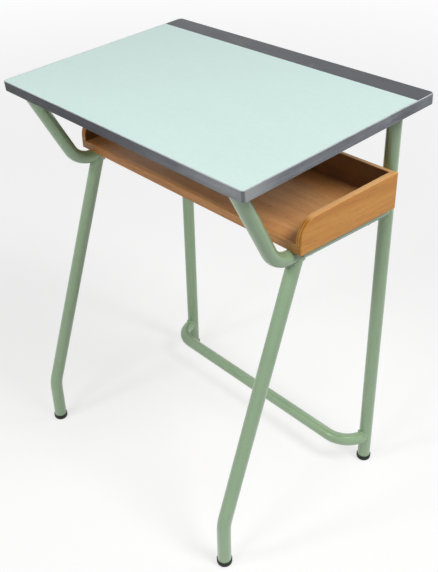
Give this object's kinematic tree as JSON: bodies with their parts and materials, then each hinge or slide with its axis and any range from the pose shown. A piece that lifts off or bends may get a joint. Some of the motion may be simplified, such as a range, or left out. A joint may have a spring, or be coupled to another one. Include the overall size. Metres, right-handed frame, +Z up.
{
  "type": "school desk",
  "caption": "School desk with a sloping laminated top in a metal edge band, bent round-tube side frames joined by a stretcher, and an open wooden book tray under the top.",
  "frame": {"origin": "on the floor under the middle of the desk", "axes": "+X to the sitter's right, +Y away from the sitter, +Z up"},
  "size_m": [0.62, 0.4378, 0.7808],
  "materials": {
    "mint_laminate": "satin, faintly mottled",
    "grey_laminate": "satin",
    "pale_laminate": "matt",
    "board": "raw particle board",
    "edge_metal": "dull rolled",
    "green_paint": "gloss",
    "screw_steel": "zinc plated",
    "tray_wood": "clear satin lacquer",
    "black_plastic": "moulded"
  },
  "bodies": {
    "root": {"balancing_sheet": "pale_laminate", "edge_band": "edge_metal", "left_arm": "green_paint", "left_front_foot": "black_plastic", "left_front_leg": "green_paint", "left_front_plate": "green_paint", "left_rear_foot": "black_plastic", "left_rear_leg": "green_paint", "left_rear_plate": "green_paint", "pen_strip": "grey_laminate", "right_arm": "green_paint", "right_front_foot": "black_plastic", "right_front_leg": "green_paint", "right_front_plate": "green_paint", "right_rear_foot": "black_plastic", "right_rear_leg": "green_paint", "right_rear_plate": "green_paint", "stretcher": "green_paint", "top_core": "board", "top_screws": "screw_steel", "tray_back": "tray_wood", "tray_floor": "tray_wood", "tray_front_strip": "tray_wood", "tray_left_side": "tray_wood", "tray_right_side": "tray_wood", "tray_screws": "screw_steel", "writing_surface": "mint_laminate"}
  },
  "joints": []
}
